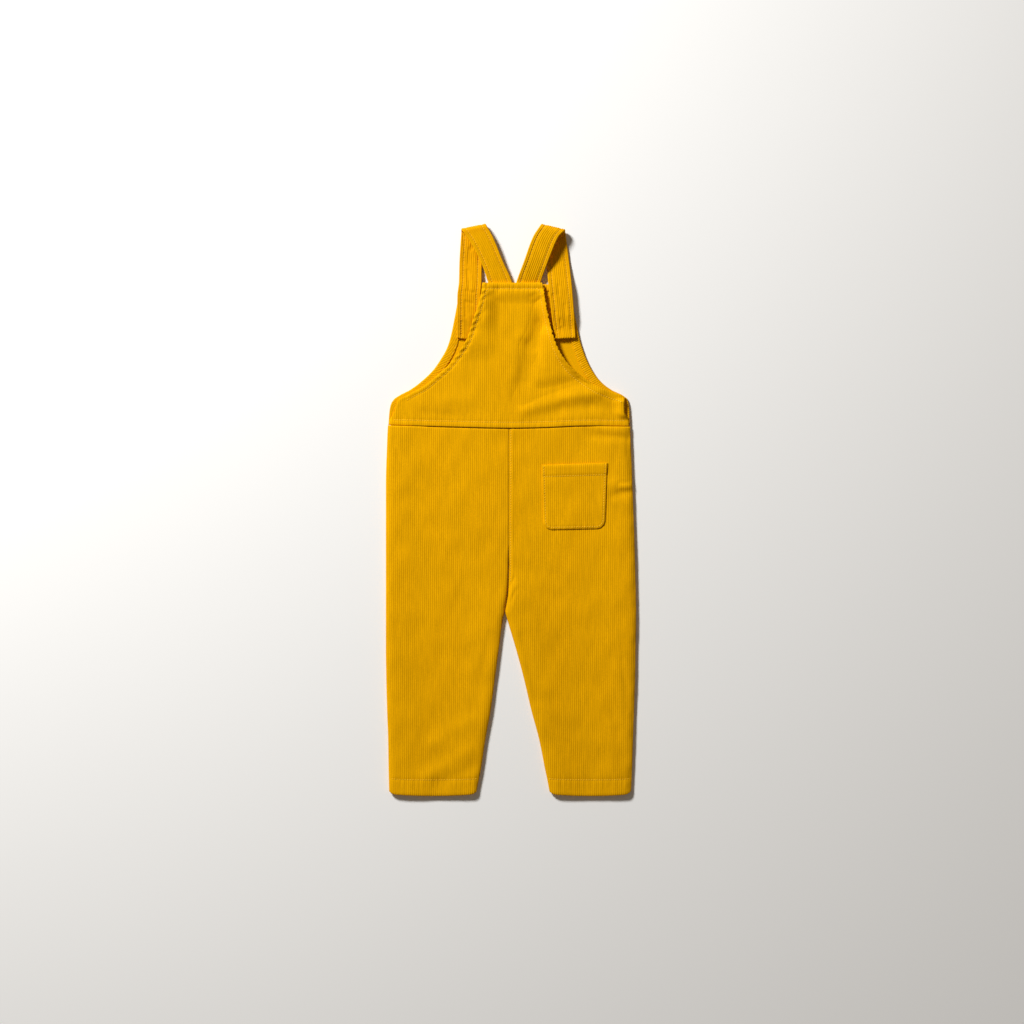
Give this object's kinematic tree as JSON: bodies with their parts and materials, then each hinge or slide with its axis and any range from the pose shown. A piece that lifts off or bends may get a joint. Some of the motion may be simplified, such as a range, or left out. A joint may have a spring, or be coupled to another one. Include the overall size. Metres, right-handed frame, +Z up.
{
  "type": "kids dungarees",
  "caption": "Corduroy dungarees for a small child, laid flat with the back up: bib, folded shoulder straps, patch pocket and straight legs.",
  "frame": {"origin": "middle of the bounding box's underside, on the surface that the garment lies on", "axes": "+Y up the garment from hems to straps, +X to the right of someone looking at its back, +Z up from the surface, out of the garment's back"},
  "size_m": [0.275, 0.6284, 0.0137],
  "materials": {
    "corduroy": "mustard cotton corduroy with fine vertical wales and a soft pile",
    "corduroy_inside": "smooth woven inside face of the mustard corduroy, its turned hems ribbed",
    "thread": "matt sewing thread, a little paler than the cloth",
    "button": "brown moulded plastic"
  },
  "bodies": {
    "root": {"back_bib": "corduroy", "front_bib": "corduroy_inside", "back_leg_left": "corduroy", "back_leg_right": "corduroy", "front_leg_left": "corduroy", "front_leg_right": "corduroy", "strap_left": "corduroy", "strap_right": "corduroy", "back_pocket": "corduroy", "strap_button_left": "button", "strap_button_right": "button"}
  },
  "joints": []
}
